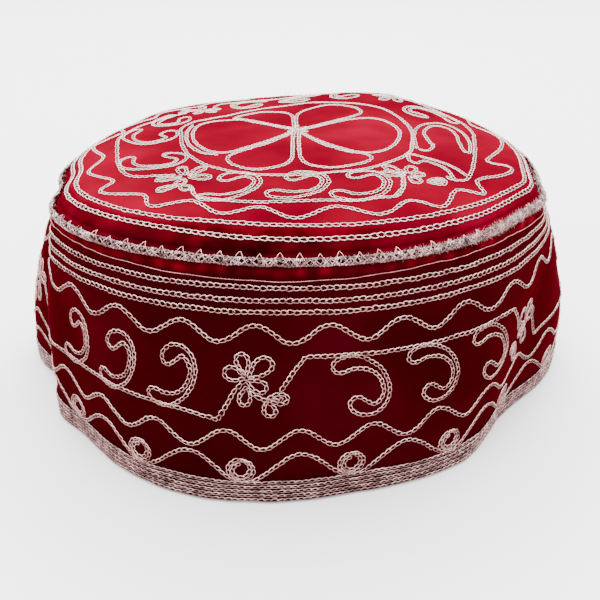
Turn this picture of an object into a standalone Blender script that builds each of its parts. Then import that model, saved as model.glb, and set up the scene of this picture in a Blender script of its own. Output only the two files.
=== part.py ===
"""Embroidered satin cap that stands on its rim.

A domed crown is sewn to a flared side wall, a braid covers the seam between them, and a stitched band
goes round the lower edge. Lengths are metres, +Z is up and the wearer's front faces -Y. The origin is the
middle of the cap's bounding box, on the floor. Azimuths are degrees from the front towards +X.
"""

import math
from collections import namedtuple

import bmesh
import bpy

# Driving sizes
WALL_HEIGHT = 0.072  # floor to the seam
SEAM_RADIUS = 0.078  # middle of the braid on the seam, before the folds
HEM_RADIUS = 0.0845  # outer face of the wall at the floor, before the folds
CROWN_RISE = 0.010  # middle of the crown above the seam
CROWN_CLOTH = 0.002
WALL_CLOTH = 0.002
BRAID_DIAMETER = 0.0032
BRAID_OVERHANG = 0.0008  # middle of the braid outside the face of the wall
HEM_BAND_HEIGHT = 0.0074
HEM_BAND_STAND = 0.0006  # face of the stitched band outside the face of the wall
HEM_BAND_ROUNDING = 0.0008  # height of the rounded edges of the stitched band
GAP = 0.0003  # clearance between neighbouring pieces

# Shape of the sections
WALL_BULGE = 0.20  # how far the wall runs ahead of a straight flare
FOLD_BULGE = 0.27  # the same for its folds
CROWN_FLATNESS = 2.5  # 2 is an ellipse, and more is flatter on top with a steeper shoulder
FOLD_FADE = 3  # power with which the folds of the seam die out towards the middle of the crown

# Fineness
AZIMUTH_STEPS = 112
CROWN_RINGS = 9
WALL_RINGS = 7
BRAID_RESOLUTION = 2
SHARP_ANGLE = math.radians(50)

# Ridges and creases that run up the wall. Azimuths and spreads are degrees, and shares are of the radius there.
Fold = namedtuple("Fold", "name seam_azimuth hem_azimuth seam_spread hem_spread seam_share hem_share")
FOLDS = (
    Fold("right ridge", 81, 93, 26, 17, -0.021, 0.133),
    Fold("left ridge", -90, -89, 16, 12, -0.040, 0.168),
    Fold("right front crease", 64, 55, 5, 10, 0.031, -0.059),
    Fold("left front crease", -70, -72, 5, 5, -0.038, -0.036),
    Fold("right back crease", 108, 125, 7, 9, 0.000, -0.045),
    Fold("left back crease", -112, -117, 10, 8, -0.057, -0.060),
    Fold("left front swell", -54, -35, 18, 22, 0.062, 0.043),
    Fold("left front corner", -60, -60, 5, 5, 0.000, 0.040),
    Fold("right front flat", 4, 11, 29, 13, -0.043, -0.034),
    Fold("back swell", 160, 165, 30, 30, -0.042, 0.025),
)

# Soft rises and dips of the crown. Places and spreads are shares of the seam radius, heights of the crown's rise.
Rise = namedtuple("Rise", "name azimuth place spread height")
RISES = (
    Rise("back rise", 150, 0.80, 0.28, 0.45),
    Rise("back dip", -165, 0.80, 0.45, -0.18),
)

# Colour, roughness and metallic value of each material
FINISHES = {
    "crown_satin": ((0.56, 0.010, 0.022), 0.38, 0.0),
    "wall_satin": ((0.17, 0.003, 0.008), 0.40, 0.0),
    "silver_braid": ((0.72, 0.52, 0.52), 0.45, 0.3),
    "edge_stitching": ((0.55, 0.40, 0.40), 0.50, 0.3),
}


def angle_between(azimuth, other):
    return (azimuth - other + 180) % 360 - 180


def bell(distance, spread):
    return math.exp(-0.5 * (distance / spread) ** 2)


def folded(azimuth, depth):
    """Factor by which the folds change the radius, with depth 0 at the seam and 1 at the floor."""
    flare = eased(depth, FOLD_BULGE)
    factor = 1.0
    for fold in FOLDS:
        middle = fold.seam_azimuth + (fold.hem_azimuth - fold.seam_azimuth) * depth
        spread = fold.seam_spread + (fold.hem_spread - fold.seam_spread) * depth
        share = fold.seam_share + (fold.hem_share - fold.seam_share) * flare
        factor += share * bell(angle_between(azimuth, middle), spread)
    return factor


def eased(depth, bulge):
    """Share of the flare that is reached at this depth."""
    return depth + bulge * 4 * depth * (1 - depth)


def seam_radius(azimuth):
    return SEAM_RADIUS * folded(azimuth, 0.0)


def wall_radius(azimuth, height):
    """Outer face of the wall at a height above the floor."""
    depth = 1 - height / WALL_HEIGHT
    top = SEAM_RADIUS - BRAID_OVERHANG
    return (top + (HEM_RADIUS - top) * eased(depth, WALL_BULGE)) * folded(azimuth, depth)


def at(azimuth, radius, height):
    angle = math.radians(azimuth)
    return (radius * math.sin(angle), -radius * math.cos(angle), height)


def azimuths():
    return [360 * step / AZIMUTH_STEPS for step in range(AZIMUTH_STEPS)]


def ring(radius_of, height):
    return [at(azimuth, radius_of(azimuth), height) for azimuth in azimuths()]


def risen(x, y, place):
    """Height that the soft rises add to the crown, none at its edge."""
    total = 0.0
    for rise in RISES:
        middle = at(rise.azimuth, rise.place * SEAM_RADIUS, 0.0)
        distance = math.hypot(x - middle[0], y - middle[1])
        total += rise.height * CROWN_RISE * bell(distance, rise.spread * SEAM_RADIUS)
    return total * (1 - place**6)


def crown_point(azimuth, place, inset, lowered):
    """Point of the dome at a share of its radius, for a dome that is smaller by inset and lower by lowered."""
    edge = SEAM_RADIUS - BRAID_DIAMETER / 2 - GAP
    folds = 1 + (seam_radius(azimuth) / SEAM_RADIUS - 1) * place**FOLD_FADE
    radius = place * (edge * folds - inset)
    x, y, _ = at(azimuth, radius, 0.0)
    dome = (CROWN_RISE - lowered) * math.sqrt(max(0.0, 1 - place**CROWN_FLATNESS))
    return (x, y, WALL_HEIGHT + dome + risen(x, y, place))


def finish_material(name):
    colour, roughness, metallic = FINISHES[name]
    material = bpy.data.materials.new(name)
    material.use_nodes = True
    shader = material.node_tree.nodes["Principled BSDF"]
    shader.inputs["Base Color"].default_value = (*colour, 1.0)
    shader.inputs["Roughness"].default_value = roughness
    shader.inputs["Metallic"].default_value = metallic
    return material


def loft(name, rings, poles=None):
    """Closed solid through rings of points. Without poles, the last ring joins the first."""
    shape = bmesh.new()
    rows = [[shape.verts.new(point) for point in points] for points in rings]
    pairs = list(zip(rows, rows[1:]))
    if poles:
        for pole, row in ((poles[0], rows[0]), (poles[1], rows[-1])):
            tip = shape.verts.new(pole)
            for one, two in zip(row, row[1:] + row[:1]):
                shape.faces.new((tip, one, two))
    else:
        pairs.append((rows[-1], rows[0]))
    for upper, lower in pairs:
        for one, two, three, four in zip(upper, upper[1:] + upper[:1], lower[1:] + lower[:1], lower):
            shape.faces.new((one, two, three, four))
    bmesh.ops.recalc_face_normals(shape, faces=shape.faces)
    mesh = bpy.data.meshes.new(name)
    shape.to_mesh(mesh)
    shape.free()
    mesh.shade_smooth()
    mesh.set_sharp_from_angle(angle=SHARP_ANGLE)
    return bpy.data.objects.new(name, mesh)


def crown():
    """Domed panel whose edge turns down behind the braid and rests on the top of the wall."""
    places = [math.sin(math.radians(90 * step / CROWN_RINGS)) for step in range(1, CROWN_RINGS + 1)]

    def dome(place, inset, lowered):
        return [crown_point(azimuth, place, inset, lowered) for azimuth in azimuths()]

    outer = [dome(place, 0.0, 0.0) for place in places]
    inner = [dome(place, CROWN_CLOTH, CROWN_CLOTH) for place in reversed(places)]
    foot = WALL_HEIGHT - BRAID_DIAMETER / 2
    turned_down = [[(x, y, foot) for x, y, _ in edge] for edge in (outer[-1], inner[0])]
    poles = (crown_point(0.0, 0.0, 0.0, 0.0), crown_point(0.0, 0.0, CROWN_CLOTH, CROWN_CLOTH))
    return loft("crown_panel", outer + turned_down + inner, poles)


def seam_braid():
    """Round braid that covers the seam."""
    curve = bpy.data.curves.new("seam_braid", "CURVE")
    curve.dimensions = "3D"
    curve.bevel_depth = BRAID_DIAMETER / 2
    curve.bevel_resolution = BRAID_RESOLUTION
    route = ring(seam_radius, WALL_HEIGHT)
    spline = curve.splines.new("POLY")
    spline.points.add(len(route) - 1)
    for point, place in zip(spline.points, route):
        point.co = (*place, 1.0)
    spline.use_cyclic_u = True
    return bpy.data.objects.new("seam_braid", curve)


def side_wall():
    """Flared and folded band between the braid and the stitched band."""
    top = WALL_HEIGHT - BRAID_DIAMETER / 2 - GAP
    bottom = HEM_BAND_HEIGHT + GAP
    heights = [top + (bottom - top) * step / WALL_RINGS for step in range(WALL_RINGS + 1)]
    outer = [ring(lambda azimuth: wall_radius(azimuth, height), height) for height in heights]
    inner = [
        ring(lambda azimuth: wall_radius(azimuth, height) - WALL_CLOTH, height)
        for height in reversed(heights)
    ]
    return loft("side_wall", outer + inner)


def hem_band():
    """Band of dense stitching round the lower edge, flat where it meets the floor."""
    inside = -WALL_CLOTH
    rounding = HEM_BAND_ROUNDING
    outline = (
        (inside, 0.0),
        (HEM_BAND_STAND - rounding / 2, 0.0),
        (HEM_BAND_STAND, rounding),
        (HEM_BAND_STAND, HEM_BAND_HEIGHT - rounding),
        (HEM_BAND_STAND - rounding / 2, HEM_BAND_HEIGHT),
        (inside, HEM_BAND_HEIGHT),
    )
    rings = [ring(lambda azimuth: wall_radius(azimuth, height) + offset, height) for offset, height in outline]
    return loft("hem_band", rings)


def plan_middle():
    """Middle of the box round the widest ring, where the stitched band meets the floor."""
    widest = ring(lambda azimuth: wall_radius(azimuth, HEM_BAND_ROUNDING) + HEM_BAND_STAND, 0.0)
    return [(min(values) + max(values)) / 2 for values in zip(*widest)][:2]


def main():
    for old in list(bpy.data.objects):
        bpy.data.objects.remove(old, do_unlink=True)
    group = bpy.data.collections.new("embroidered_cap")
    bpy.context.scene.collection.children.link(group)
    middle_x, middle_y = plan_middle()
    anchor = bpy.data.objects.new("cap_middle", None)
    anchor.location = (-middle_x, -middle_y, 0.0)
    group.objects.link(anchor)
    pieces = (
        (crown(), "crown_satin"),
        (seam_braid(), "silver_braid"),
        (side_wall(), "wall_satin"),
        (hem_band(), "edge_stitching"),
    )
    for piece, finish in pieces:
        piece.data.materials.append(finish_material(finish))
        group.objects.link(piece)
        piece.parent = anchor


main()
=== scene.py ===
"""Looks of the embroidered cap: satin cloth, chain stitch, braid, floor, lights and camera.

The cloth repeats the shape functions of the model. Lengths are metres, except in the drawings of the
embroidery, which are millimetres. Azimuths are degrees from the front (-Y) towards +X. A drawing is a path
on the wall or on the crown, and it is then worked in links of thread that lie on the cloth.
"""

import math
from collections import namedtuple

import bpy
import numpy as np
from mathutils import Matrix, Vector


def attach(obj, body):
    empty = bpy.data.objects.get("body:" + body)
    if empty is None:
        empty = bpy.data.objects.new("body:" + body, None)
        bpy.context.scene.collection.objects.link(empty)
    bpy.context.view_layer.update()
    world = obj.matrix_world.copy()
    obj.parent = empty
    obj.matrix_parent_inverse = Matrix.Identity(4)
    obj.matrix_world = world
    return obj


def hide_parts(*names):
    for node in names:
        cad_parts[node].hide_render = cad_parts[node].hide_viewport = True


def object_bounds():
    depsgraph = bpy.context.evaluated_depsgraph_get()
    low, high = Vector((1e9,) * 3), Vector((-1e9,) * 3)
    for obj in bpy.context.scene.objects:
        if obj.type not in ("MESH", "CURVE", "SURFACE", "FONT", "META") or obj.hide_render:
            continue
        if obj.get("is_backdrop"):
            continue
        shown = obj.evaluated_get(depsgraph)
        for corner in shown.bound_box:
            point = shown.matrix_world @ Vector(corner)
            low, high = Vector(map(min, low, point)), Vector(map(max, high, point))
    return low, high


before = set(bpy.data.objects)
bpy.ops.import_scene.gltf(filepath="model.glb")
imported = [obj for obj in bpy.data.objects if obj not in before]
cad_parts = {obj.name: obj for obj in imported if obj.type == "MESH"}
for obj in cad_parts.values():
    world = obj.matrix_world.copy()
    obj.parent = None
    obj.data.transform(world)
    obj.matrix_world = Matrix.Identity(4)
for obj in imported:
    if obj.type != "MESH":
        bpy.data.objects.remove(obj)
cad_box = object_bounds()
rng = np.random.default_rng(20)
MM = 0.001

# Sizes of the model
WALL_HEIGHT = 0.072
SEAM_RADIUS = 0.078
HEM_RADIUS = 0.0845
CROWN_RISE = 0.010
CROWN_CLOTH = 0.002
WALL_CLOTH = 0.002
BRAID_DIAMETER = 0.0032
BRAID_OVERHANG = 0.0008
HEM_BAND_HEIGHT = 0.0074
HEM_BAND_STAND = 0.0006
HEM_BAND_ROUNDING = 0.0008
GAP = 0.0003
WALL_BULGE = 0.20
FOLD_BULGE = 0.27
CROWN_FLATNESS = 2.5
FOLD_FADE = 3
AZIMUTH_STEPS = 112

Fold = namedtuple("Fold", "name seam_azimuth hem_azimuth seam_spread hem_spread seam_share hem_share")
FOLDS = (
    Fold("right ridge", 81, 93, 26, 17, -0.021, 0.133),
    Fold("left ridge", -90, -89, 16, 12, -0.040, 0.168),
    Fold("right front crease", 64, 55, 5, 10, 0.031, -0.059),
    Fold("left front crease", -70, -72, 5, 5, -0.038, -0.036),
    Fold("right back crease", 108, 125, 7, 9, 0.000, -0.045),
    Fold("left back crease", -112, -117, 10, 8, -0.057, -0.060),
    Fold("left front swell", -54, -35, 18, 22, 0.062, 0.043),
    Fold("left front corner", -60, -60, 5, 5, 0.000, 0.040),
    Fold("right front flat", 4, 11, 29, 13, -0.043, -0.034),
    Fold("back swell", 160, 165, 30, 30, -0.042, 0.025),
)
Rise = namedtuple("Rise", "name azimuth place spread height")
RISES = (
    Rise("back rise", 150, 0.80, 0.28, 0.45),
    Rise("back dip", -165, 0.80, 0.45, -0.18),
)


# Shape functions of the model
def wrapped(angle):
    return (angle + 180) % 360 - 180


def bell(distance, spread):
    return np.exp(-0.5 * (distance / spread) ** 2)


def eased(depth, bulge):
    return depth + bulge * 4 * depth * (1 - depth)


def folded(azimuth, depth):
    factor = 1.0
    for fold in FOLDS:
        middle = fold.seam_azimuth + (fold.hem_azimuth - fold.seam_azimuth) * depth
        spread = fold.seam_spread + (fold.hem_spread - fold.seam_spread) * depth
        share = fold.seam_share + (fold.hem_share - fold.seam_share) * eased(depth, FOLD_BULGE)
        factor = factor + share * bell(wrapped(azimuth - middle), spread)
    return factor


def seam_radius(azimuth):
    return SEAM_RADIUS * folded(azimuth, 0.0)


def wall_radius(azimuth, height):
    depth = 1 - height / WALL_HEIGHT
    top = SEAM_RADIUS - BRAID_OVERHANG
    return (top + (HEM_RADIUS - top) * eased(depth, WALL_BULGE)) * folded(azimuth, depth)


def at(azimuth, radius, height):
    angle = np.radians(azimuth)
    height = height + 0 * angle
    return np.stack([radius * np.sin(angle), -radius * np.cos(angle), height], -1)


def plan_middle():
    azimuth = np.arange(AZIMUTH_STEPS) * 360 / AZIMUTH_STEPS
    ring = at(azimuth, wall_radius(azimuth, HEM_BAND_ROUNDING) + HEM_BAND_STAND, 0.0)
    return (ring.min(0) + ring.max(0)) / 2


MIDDLE = plan_middle()
CROWN_EDGE = SEAM_RADIUS - BRAID_DIAMETER / 2 - GAP


# Cloth with its small ripples
def ripple(turn, height, waves):
    """Sum of shallow waves, each given by its height, count round the cap, count per metre up and start."""
    total = 0.0
    for deep, around, up, start in waves:
        total = total + deep * np.sin(around * turn + 2 * math.pi * up * height + start)
    return total


WALL_RIPPLES = (
    (0.00013, 11, 31, 0.4),
    (0.00010, 19, -43, 2.1),
    (0.00006, 34, 67, 4.4),
    (0.00004, 53, -110, 1.0),
)
CROWN_RIPPLES = (
    (0.00030, 5, 38, 0.9),
    (0.00022, 8, -55, 2.8),
    (0.00009, 17, 90, 5.0),
)
# Gathers at the braid: their count round the cap and the start of their pattern
WALL_TUCKS = (88, 1.3)
CROWN_TUCKS = (76, 0.2)
WALL_TUCK_DEPTH = 0.00060
WALL_TUCK_HEIGHT = 0.0686
WALL_TUCK_SPREAD = 0.0010
CROWN_TUCK_DEPTH = 0.00045
CROWN_TUCK_START = 0.955  # share of the crown's radius where its gathers begin


def tucks(turn, waves, start):
    """Uneven gathers of cloth that is sewn to the braid, from 0 in the tucks to 1 between them."""
    uneven = 0.9 * np.sin(7 * turn + start) + 0.6 * np.sin(13 * turn + 2 * start)
    return 0.5 + 0.5 * np.sin(waves * turn + uneven) * (0.75 + 0.25 * np.sin(23 * turn + start))


def wall_at(azimuth, height, inset=0.0):
    """Face of the wall at an azimuth and a height, moved inwards by inset."""
    turn = np.radians(azimuth)
    gathers = WALL_TUCK_DEPTH * tucks(turn, *WALL_TUCKS) * bell(height - WALL_TUCK_HEIGHT, WALL_TUCK_SPREAD)
    radius = wall_radius(azimuth, height) + ripple(turn, height, WALL_RIPPLES) + gathers
    return at(azimuth, radius - inset, height) - MIDDLE


def risen(x, y, place):
    total = 0.0
    for rise in RISES:
        middle = at(rise.azimuth, rise.place * SEAM_RADIUS, 0.0)
        distance = np.hypot(x - middle[0], y - middle[1])
        total = total + rise.height * CROWN_RISE * bell(distance, rise.spread * SEAM_RADIUS)
    return total * (1 - place**6)


def crown_ring(azimuth, place, inset=0.0, lowered=0.0):
    """Points of the dome at a share of its radius."""
    folds = 1 + (seam_radius(azimuth) / SEAM_RADIUS - 1) * place**FOLD_FADE
    turn = np.radians(azimuth)
    shoulder = np.clip((place - CROWN_TUCK_START) / (1 - CROWN_TUCK_START), 0, 1) ** 2
    gathers = CROWN_TUCK_DEPTH * shoulder * (1 - tucks(turn, *CROWN_TUCKS))
    radius = place * (CROWN_EDGE * folds - inset) - gathers
    flat = at(azimuth, radius, 0.0)
    dome = (CROWN_RISE - lowered) * np.sqrt(np.maximum(0.0, 1 - place**CROWN_FLATNESS))
    wavy = ripple(turn, place * SEAM_RADIUS, CROWN_RIPPLES) * place * (1 - place**8)
    flat[..., 2] = WALL_HEIGHT + dome + wavy + risen(flat[..., 0], flat[..., 1], place)
    return flat - MIDDLE


def crown_at(x, y):
    """Face of the crown at a place of its plan, measured from the axis of the folds."""
    azimuth = np.degrees(np.arctan2(x, -y))
    share = seam_radius(azimuth) / SEAM_RADIUS - 1
    distance = np.hypot(x, y) / CROWN_EDGE
    place = distance
    for _ in range(10):
        place = distance / (1 + share * np.clip(place, 0, 1.1) ** FOLD_FADE)
    place = np.clip(place, 0, 1)
    point = crown_ring(azimuth, place)
    point[..., 0] = x - MIDDLE[0]
    point[..., 1] = y - MIDDLE[1]
    return point


# Meshes from arrays
def quad_mesh(name, points, quads, corners=None):
    """Smooth mesh of quads. Corners holds a map coordinate for each corner of each quad."""
    mesh = bpy.data.meshes.new(name)
    mesh.vertices.add(len(points))
    mesh.vertices.foreach_set("co", np.ascontiguousarray(points, np.float32).ravel())
    mesh.loops.add(4 * len(quads))
    mesh.loops.foreach_set("vertex_index", np.ascontiguousarray(quads, np.int32).ravel())
    mesh.polygons.add(len(quads))
    mesh.polygons.foreach_set("loop_start", np.arange(0, 4 * len(quads), 4, dtype=np.int32))
    if corners is not None:
        layer = mesh.uv_layers.new(name="UVMap")
        layer.data.foreach_set("uv", np.ascontiguousarray(corners, np.float32).ravel())
    mesh.update(calc_edges=True)
    mesh.validate()
    mesh.shade_smooth()
    piece = bpy.data.objects.new(name, mesh)
    bpy.context.scene.collection.objects.link(piece)
    return piece


def grid_quads(rows, columns, close_rows=True):
    """Quads of a grid whose columns close, with the rows and columns of their corners before they wrap."""
    row = np.arange(rows if close_rows else rows - 1)
    row, column = (side.ravel() for side in np.meshgrid(row, np.arange(columns), indexing="ij"))
    corner_rows = np.stack([row, row, row + 1, row + 1], -1)
    corner_columns = np.stack([column, column + 1, column + 1, column], -1)
    return (corner_rows % rows) * columns + corner_columns % columns, corner_rows, corner_columns


def unit(vectors):
    return vectors / np.maximum(np.linalg.norm(vectors, axis=-1, keepdims=True), 1e-12)


def section(middles, first, second, radius, sides):
    """Rings of points round the middles of a thread."""
    angle = 2 * math.pi * np.arange(sides) / sides
    across = first[..., None, :] * np.cos(angle)[:, None]
    up = second[..., None, :] * np.sin(angle)[:, None]
    return middles[..., None, :] + (across + up) * np.asarray(radius)[..., None, None]


def travelled_along(points):
    """Length along a line of points, from its start to each of them."""
    return np.r_[0, np.cumsum(np.linalg.norm(np.diff(points, axis=0), axis=1))]


Batch = namedtuple("Batch", "points quads corners")


def joined(name, batches):
    """One mesh from several batches of points and quads."""
    points, quads, corners, first = [], [], [], 0
    for batch in batches:
        points.append(batch.points)
        quads.append(batch.quads + first)
        corners.append(batch.corners)
        first += len(batch.points)
    return quad_mesh(name, np.concatenate(points), np.concatenate(quads), np.concatenate(corners))


def tube(middles, radius, sides, twist_length):
    """Closed round thread along a line of points. One turn of its twist is twist_length long."""
    ahead = unit(np.roll(middles, -1, 0) - np.roll(middles, 1, 0))
    first = unit(np.cross(ahead, np.array([0.013, 0.021, 1.0])))
    second = np.cross(ahead, first)
    radius = np.broadcast_to(radius, len(middles))
    points = section(middles, first, second, radius, sides)
    quads, rows, columns = grid_quads(len(middles), sides)
    travelled = travelled_along(middles)
    travelled = np.r_[travelled, 2 * travelled[-1] - travelled[-2]]
    corners = np.stack([travelled[rows] / twist_length, columns / sides], -1)
    return Batch(points.reshape(-1, 3), quads, corners)


# Chain stitch
# Pitch of the links, width of the chain and radius of its thread
Stitch = namedtuple("Stitch", "pitch width radius")
CROWN_ROW = Stitch(1.95 * MM, 1.52 * MM, 0.160 * MM)
CROWN_LINE = Stitch(1.80 * MM, 1.30 * MM, 0.155 * MM)
WALL_ROW = Stitch(1.66 * MM, 1.48 * MM, 0.145 * MM)
WALL_LINE = Stitch(1.78 * MM, 1.34 * MM, 0.138 * MM)
SMALL_LINE = Stitch(1.62 * MM, 1.26 * MM, 0.140 * MM)
HEM_ROW = Stitch(1.85 * MM, 1.14 * MM, 0.155 * MM)
LINK_STEPS = 10
THREAD_SIDES = 4
LINK_OVERLAP = 1.24  # length of a link in pitches
LINK_TWISTS = 5  # twists of the thread round a link
# Spread of the links' lengths and widths as shares, and of their sideways places
LENGTH_SPREAD = 0.05
WIDTH_SPREAD = 0.09
PLACE_SPREAD = 0.05 * MM


def outwards(surface, one, two):
    """Normal of a surface, away from the middle of the cap."""
    step_one, step_two = surface.steps
    along = surface.point(one + step_one, two) - surface.point(one - step_one, two)
    across = surface.point(one, two + step_two) - surface.point(one, two - step_two)
    normal = unit(np.cross(along, across))
    facing = (normal * (surface.point(one, two) - np.array([0, 0, 0.03]))).sum(-1, keepdims=True)
    return normal * np.sign(facing)


def hem_at(azimuth, height):
    """Face of the cloth of the stitched band."""
    return wall_at(azimuth, height, -HEM_BAND_STAND * 0.5)


# Point of a surface from its two coordinates, and small steps of these for its normal
Surface = namedtuple("Surface", "point steps")
WALL = Surface(wall_at, (0.05, 0.00005))
HEM = Surface(hem_at, (0.05, 0.00005))
CROWN = Surface(crown_at, (0.00005, 0.00005))


def chained(surface, path, stitch, closed=False):
    """Links of chain stitch along a path of places on a surface."""
    line = surface.point(path[:, 0], path[:, 1])
    moved = np.r_[True, np.linalg.norm(np.diff(line, axis=0), axis=1) > 1e-9]
    path = path[moved]
    travelled = travelled_along(line[moved])
    length = travelled[-1]
    count = max(3, round(length / stitch.pitch))
    pitch = length / count
    angle = 2 * math.pi * np.arange(LINK_STEPS) / LINK_STEPS
    along = 0.5 - 0.5 * np.cos(angle)
    across = np.sin(angle) * np.sin(angle / 2) ** 0.8 / 0.80
    long = LINK_OVERLAP * (1 + LENGTH_SPREAD * rng.standard_normal((count, 1)))
    where = pitch * (np.arange(count)[:, None] + along * long)

    def places(distance):
        distance = distance % length if closed else np.clip(distance, 0, length)
        return [np.interp(distance, travelled, path[:, side]) for side in (0, 1)]

    middle = surface.point(*places(where))
    ahead = unit(surface.point(*places(where + 0.1 * MM)) - surface.point(*places(where - 0.1 * MM)))
    normal = outwards(surface, *places(where))
    side = unit(np.cross(normal, ahead))
    wide = stitch.width / 2 - stitch.radius
    wide = wide * (1 + WIDTH_SPREAD * rng.standard_normal((count, 1)))
    shift = PLACE_SPREAD * rng.standard_normal((count, 1))
    high = stitch.radius * (0.85 + 1.25 * np.exp(-((along / 0.2) ** 2)) - 0.25 * along**3)
    middle = middle + side * (across * wide + shift)[..., None] + normal * high[..., None]
    round_link = unit(np.roll(middle, -1, 1) - np.roll(middle, 1, 1))
    first = unit(np.cross(round_link, normal))
    second = np.cross(first, round_link)
    points = section(middle, first, second, stitch.radius, THREAD_SIDES)
    quads, rows, columns = grid_quads(LINK_STEPS, THREAD_SIDES)
    link_points = LINK_STEPS * THREAD_SIDES
    quads = quads[None] + link_points * np.arange(count)[:, None, None]
    corners = np.stack([rows * LINK_TWISTS / LINK_STEPS, columns / THREAD_SIDES], -1)
    corners = np.broadcast_to(corners, (count, *corners.shape))
    return Batch(points.reshape(-1, 3), quads.reshape(-1, 4), corners.reshape(-1, 2))


# Drawing
def smooth(knots, closed=False, fineness=12):
    """Curve through the knots, in the unit of the knots."""
    knots = np.array(knots, float)
    if closed:
        knots = np.concatenate([knots[-1:], knots, knots[:2]])
    else:
        ends = (2 * knots[:1] - knots[1:2], 2 * knots[-1:] - knots[-2:-1])
        knots = np.concatenate([ends[0], knots, ends[1]])
    before, start, end, after = (knots[i : len(knots) - 3 + i, None] for i in range(4))
    t = (np.arange(fineness) / fineness)[None, :, None]
    turning = 2 * before - 5 * start + 4 * end - after + t * (3 * (start - end) + after - before)
    curve = start + 0.5 * t * (end - before + t * turning)
    return np.concatenate([curve.reshape(-1, 2), knots[-2:-1]])


def placed(shape, x, y, turn=0.0, width=1.0, height=1.0):
    """Shape scaled by width and height, turned anticlockwise in degrees and moved."""
    shape = np.array(shape, float) * (width, height)
    angle = math.radians(turn)
    across = shape[:, 0] * math.cos(angle) - shape[:, 1] * math.sin(angle)
    up = shape[:, 0] * math.sin(angle) + shape[:, 1] * math.cos(angle)
    return np.stack([across + x, up + y], -1)


def drop(root_x, root_y, tip_x, tip_y, width):
    """Petal or leaf: a chain that leaves its root, swells towards the tip and comes back."""
    angle = np.radians(np.arange(0, 361, 15))
    root, tip = np.array((root_x, root_y)), np.array((tip_x, tip_y))
    ahead = tip - root
    side = np.array((-ahead[1], ahead[0])) / np.hypot(*ahead)
    swell = width / 2 * np.sin(angle) * np.sin(angle / 2) / 0.77
    return root + ahead * (0.5 - 0.5 * np.cos(angle))[:, None] + side * swell[:, None]


# Scroll from its middle: open curl on top, back to the right and tail down to the left
SCROLL = (
    (-7.9, -6.3), (-7.2, -8.0), (-5.7, -8.7), (-3.6, -9.1), (-1.4, -9.0), (0.7, -8.3), (2.9, -6.9),
    (4.9, -5.1), (6.5, -2.8), (7.5, -0.4), (7.9, 1.8), (7.7, 4.0), (6.9, 6.1), (5.5, 7.8), (3.5, 8.9),
    (1.2, 9.1), (-0.9, 8.5), (-2.6, 6.9), (-3.2, 5.1), (-2.3, 3.5), (-0.6, 3.3), (1.4, 4.7), (3.0, 5.9),
    (4.3, 5.8), (5.5, 4.5), (6.2, 2.6), (5.9, 0.3), (5.0, -1.9), (3.3, -3.8), (1.3, -4.9), (-0.8, -5.4),
    (-2.7, -5.4), (-4.5, -4.7), (-6.2, -4.5), (-7.4, -5.1),
)
# Petals and leaves of a wall flower from its middle: root x and z, tip x and z, width
PETALS = (
    (-0.4, 0.9, -2.0, 6.8, 3.2),
    (0.3, 0.1, 6.0, 5.6, 4.4),
    (-0.6, 0.3, -6.2, 1.6, 3.8),
    (-0.2, -0.7, 4.8, -3.2, 3.2),
    (-0.1, -2.4, -1.2, -8.0, 3.0),
    (4.9, -6.0, 10.5, -5.9, 3.0),
    (6.6, -6.0, 9.0, -5.9, 1.0),
    (5.0, -6.7, 6.2, -11.2, 3.2),
)
# Stem between the leaves, foot towards the low frame line, and climb to the high one
STEM = ((0.0, -3.6), (2.1, -5.0), (3.9, -6.0), (5.1, -6.7))
FOOT = ((0.0, -0.4), (-1.3, -1.1), (-2.3, -2.3), (-3.7, -4.2), (-4.9, -6.5), (-6.6, -10.0), (-8.0, -12.6))
CLIMB = ((8.4, -3.7), (9.6, -2.0), (10.9, 0.2), (12.6, 2.9), (14.2, 4.9), (15.1, 6.2))
FLOWER_HEIGHT = 39.4
FLOWER_AZIMUTHS = (-9.7, 58, 114, 170, 227, 282)  # the first rises to its right, the next falls, and so on
FALLING_WIDTH = -0.9  # mirrored width of a falling flower
FALLING_SHIFT = (-2.2, -3.4)  # of its petals
# Line from one flower to the next: its ends from their middles, level and sag, and then its three scrolls:
# their shares of the way, their height, their width as a share, and -1 where they hang upside down
Frame = namedtuple("Frame", "start end level sag shares height width flip")
HIGH_FRAME = Frame(15.1, -13.6, 45.6, -0.4, (0.318, 0.540, 0.758), 35.8, 1.0, -1)
LOW_FRAME = Frame(7.2, -8.0, 26.8, 2.8, (0.433, 0.611, 0.789), 37.9, 0.86, 1)
FULL_WIDTH_LENGTH = 66  # shorter frame lines have narrower scrolls
# Rows: height, and the way round in which they are worked
WALL_ROW_PLACES = ((63.9, -1), (60.6, 1), (57.6, -1))
HEM_ROW_HEIGHTS = (1.1, 2.6, 4.1, 5.6, 7.1)
# Waves: middle height, swing, count round the cap and start
WALL_WAVES = ((51.7, -2.4, 27, 0.61), (20.8, 2.8, 27, 0.0), (11.4, 4.4, 18, 0.0))
ROSETTES = 18
ROSETTE_HEIGHT = 11.1
ROSETTE_SHIFT = -0.8

# Millimetres round the wall half way up, for azimuths that reach past a full turn on both sides
turns = np.linspace(-540, 720, 5041)
pattern_length = travelled_along(at(turns, wall_radius(turns, WALL_HEIGHT / 2), 0.0)) / MM
pattern_length = pattern_length - np.interp(0, turns, pattern_length)
ROUND = np.interp(360, turns, pattern_length)


def along_wall(azimuth):
    """Millimetres round the wall from the front, half way up."""
    return np.interp(azimuth, turns, pattern_length)


def on_wall(drawing):
    """Drawing in millimetres round and up the wall, as azimuths and heights."""
    return np.stack([np.interp(drawing[:, 0], pattern_length, turns), drawing[:, 1] * MM], -1)


FULL_TURN = np.linspace(-180, 180, 1441)


def wall_ring(height):
    """Closed row round the wall, at one height in millimetres or at a height for each step of the turn."""
    return np.stack([FULL_TURN, (height + 0 * FULL_TURN) * MM], -1)


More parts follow.
